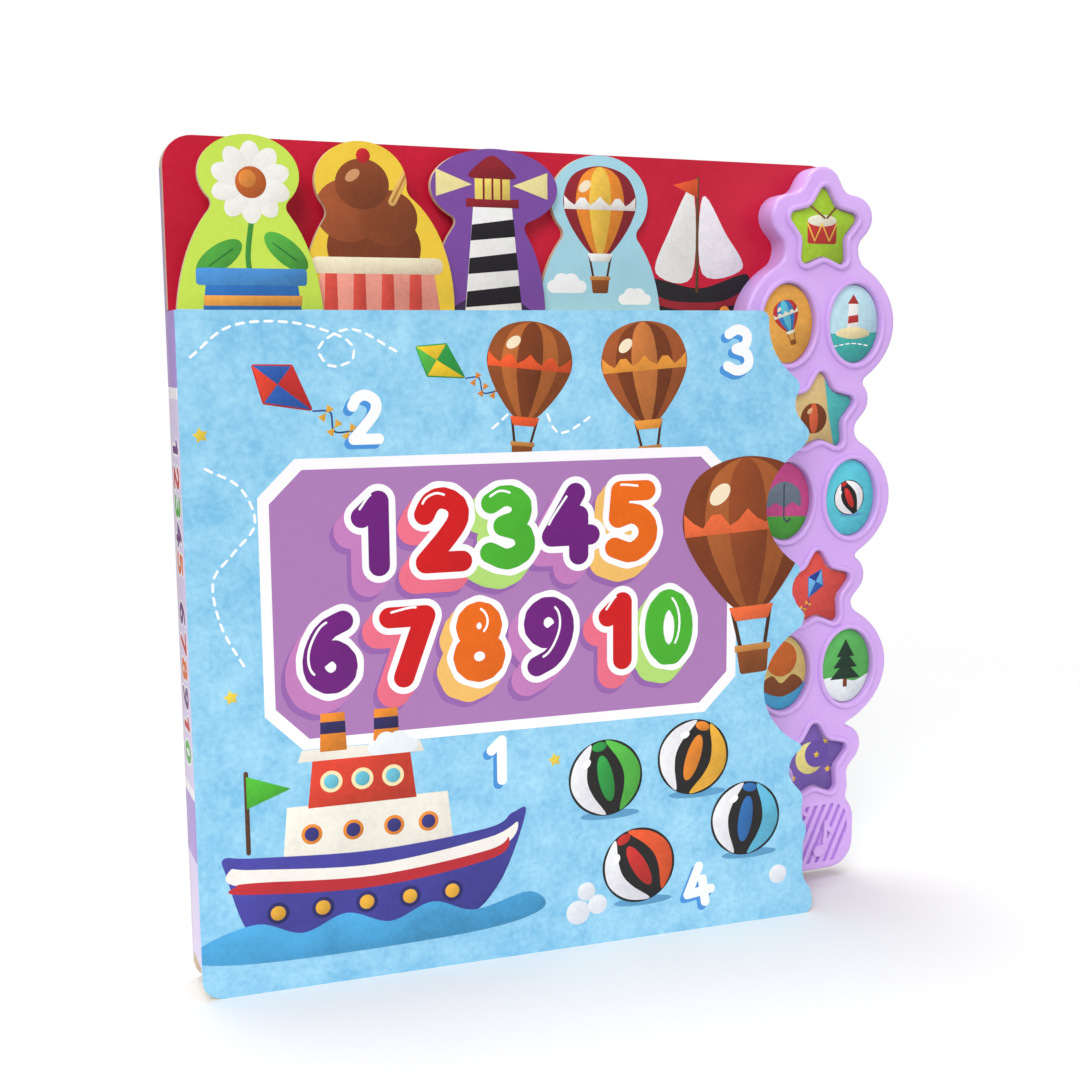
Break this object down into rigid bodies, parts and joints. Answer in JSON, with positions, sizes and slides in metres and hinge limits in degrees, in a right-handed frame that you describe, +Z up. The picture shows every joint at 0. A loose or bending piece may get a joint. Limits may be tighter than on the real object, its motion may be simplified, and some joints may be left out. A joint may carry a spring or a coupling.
{
  "type": "sound book",
  "caption": "Square board book with stepped picture tabs on its leaves and a lobed push-button sound module down its fore edge, standing with the front cover ajar.",
  "frame": {"origin": "under the middle of the bounding box, on the surface that the bottom edges stand on", "axes": "+X from the spine to the sound module, +Y from the front cover to the back cover, +Z up"},
  "size_m": [0.2566, 0.035, 0.2642],
  "materials": {
    "cover_board": "glossy printed board",
    "spine_card": "glossy printed card",
    "leaf_board": "satin printed leaves with bare cut edges",
    "red_board": "satin printed board",
    "core_board": "bare grey board",
    "housing": "semi-gloss moulded plastic",
    "button_plastic": "moulded plastic",
    "label_paper": "satin printed label",
    "circuit": "solder-masked laminate",
    "silicone": "moulded silicone",
    "epoxy": "potted resin",
    "steel": "plated steel",
    "foam": "closed-cell foam",
    "cone_paper": "pressed paper",
    "red_wire": "insulated lead",
    "black_wire": "insulated lead"
  },
  "bodies": {
    "book_block": {"spine_strip": "spine_card", "page_block": "leaf_board"},
    "front_cover": {"front_cover": "cover_board"},
    "button_1": {"button_1_cap": "button_plastic", "button_1_label": "label_paper"},
    "button_2": {"button_2_cap": "button_plastic", "button_2_label": "label_paper"},
    "button_3": {"button_3_cap": "button_plastic", "button_3_label": "label_paper"},
    "button_4": {"button_4_cap": "button_plastic", "button_4_label": "label_paper"},
    "button_5": {"button_5_cap": "button_plastic", "button_5_label": "label_paper"},
    "button_6": {"button_6_cap": "button_plastic", "button_6_label": "label_paper"},
    "button_7": {"button_7_cap": "button_plastic", "button_7_label": "label_paper"},
    "button_8": {"button_8_cap": "button_plastic", "button_8_label": "label_paper"},
    "button_9": {"button_9_cap": "button_plastic", "button_9_label": "label_paper"},
    "button_10": {"button_10_cap": "button_plastic", "button_10_label": "label_paper"},
    "back_cover": {"back_leaf": "red_board", "core_board": "core_board", "back_cover": "cover_board", "module_front_shell": "housing", "module_back_plate": "housing", "module_screw_1": "steel", "module_screw_2": "steel", "module_screw_3": "steel", "module_screw_4": "steel", "circuit_board": "circuit", "switch_mat": "silicone", "sound_chip": "epoxy", "button_cell_1": "steel", "button_cell_2": "steel", "button_cell_3": "steel", "battery_contact_plus": "steel", "battery_bridge_front": "steel", "battery_bridge_door": "steel", "battery_contact_minus": "steel", "battery_door": "housing", "battery_door_screw": "steel", "speaker_gasket": "foam", "speaker_basket": "steel", "speaker_cone": "cone_paper", "speaker_magnet": "steel", "speaker_lead_red": "red_wire", "speaker_lead_black": "black_wire"}
  },
  "joints": [
    {"name": "front_cover_hinge", "type": "hinge", "parent": "book_block", "child": "front_cover", "pos_m": [-0.12825, -0.00169, 0.106], "axis": [0, 0, -1], "range_deg": [-4.25, 165]},
    {"name": "back_cover_hinge", "type": "hinge", "parent": "book_block", "child": "back_cover", "pos_m": [-0.12825, 0.01746, 0.106], "axis": [0, 0, 1], "range_deg": [0, 165]},
    {"name": "button_1_press", "type": "slide", "parent": "back_cover", "child": "button_1", "axis": [0, 1, 0], "range_m": [0, 0.0006], "stiffness_N_per_m": 300},
    {"name": "button_2_press", "type": "slide", "parent": "back_cover", "child": "button_2", "axis": [0, 1, 0], "range_m": [0, 0.0006], "stiffness_N_per_m": 300},
    {"name": "button_3_press", "type": "slide", "parent": "back_cover", "child": "button_3", "axis": [0, 1, 0], "range_m": [0, 0.0006], "stiffness_N_per_m": 300},
    {"name": "button_4_press", "type": "slide", "parent": "back_cover", "child": "button_4", "axis": [0, 1, 0], "range_m": [0, 0.0006], "stiffness_N_per_m": 300},
    {"name": "button_5_press", "type": "slide", "parent": "back_cover", "child": "button_5", "axis": [0, 1, 0], "range_m": [0, 0.0006], "stiffness_N_per_m": 300},
    {"name": "button_6_press", "type": "slide", "parent": "back_cover", "child": "button_6", "axis": [0, 1, 0], "range_m": [0, 0.0006], "stiffness_N_per_m": 300},
    {"name": "button_7_press", "type": "slide", "parent": "back_cover", "child": "button_7", "axis": [0, 1, 0], "range_m": [0, 0.0006], "stiffness_N_per_m": 300},
    {"name": "button_8_press", "type": "slide", "parent": "back_cover", "child": "button_8", "axis": [0, 1, 0], "range_m": [0, 0.0006], "stiffness_N_per_m": 300},
    {"name": "button_9_press", "type": "slide", "parent": "back_cover", "child": "button_9", "axis": [0, 1, 0], "range_m": [0, 0.0006], "stiffness_N_per_m": 300},
    {"name": "button_10_press", "type": "slide", "parent": "back_cover", "child": "button_10", "axis": [0, 1, 0], "range_m": [0, 0.0006], "stiffness_N_per_m": 300}
  ]
}
